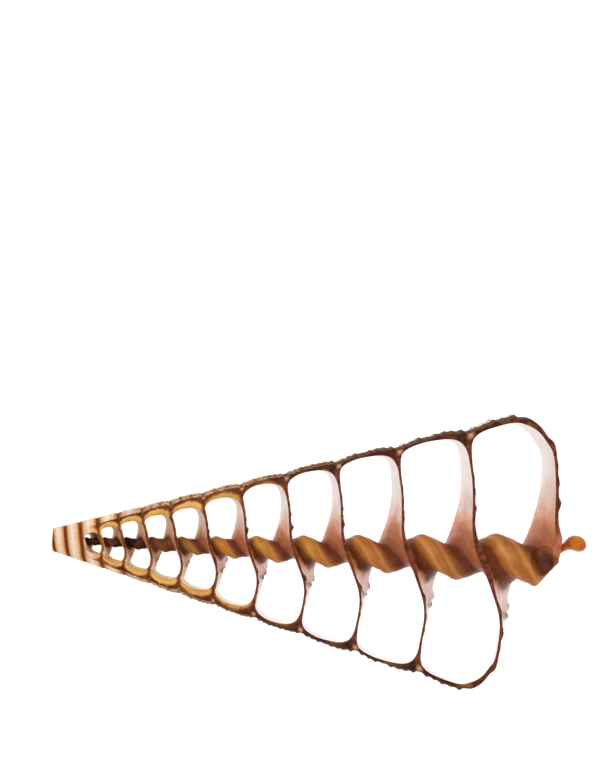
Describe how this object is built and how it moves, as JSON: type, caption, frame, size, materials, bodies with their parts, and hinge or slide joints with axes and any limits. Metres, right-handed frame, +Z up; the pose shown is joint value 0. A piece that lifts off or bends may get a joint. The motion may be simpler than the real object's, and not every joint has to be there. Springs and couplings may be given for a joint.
{
  "type": "auger shell slice",
  "caption": "Lengthwise centre slice of a tall spired auger shell, with open chambers in two rows on either side of a twisted central pillar.",
  "frame": {"origin": "middle of the bounding box, on the lower sawn face that the slice lies on", "axes": "+X along the shell's length from the blunt tip to the base, +Z up from the lower sawn face, +Y across the slice"},
  "size_m": [0.0894, 0.0472, 0.01],
  "materials": {
    "shell": "Natural shell: glossy caramel and cream pillar, porcelain chambers, dark brown sawn edges and a banded tan outside."
  },
  "bodies": {
    "root": {"auger_shell": "shell"}
  },
  "joints": []
}
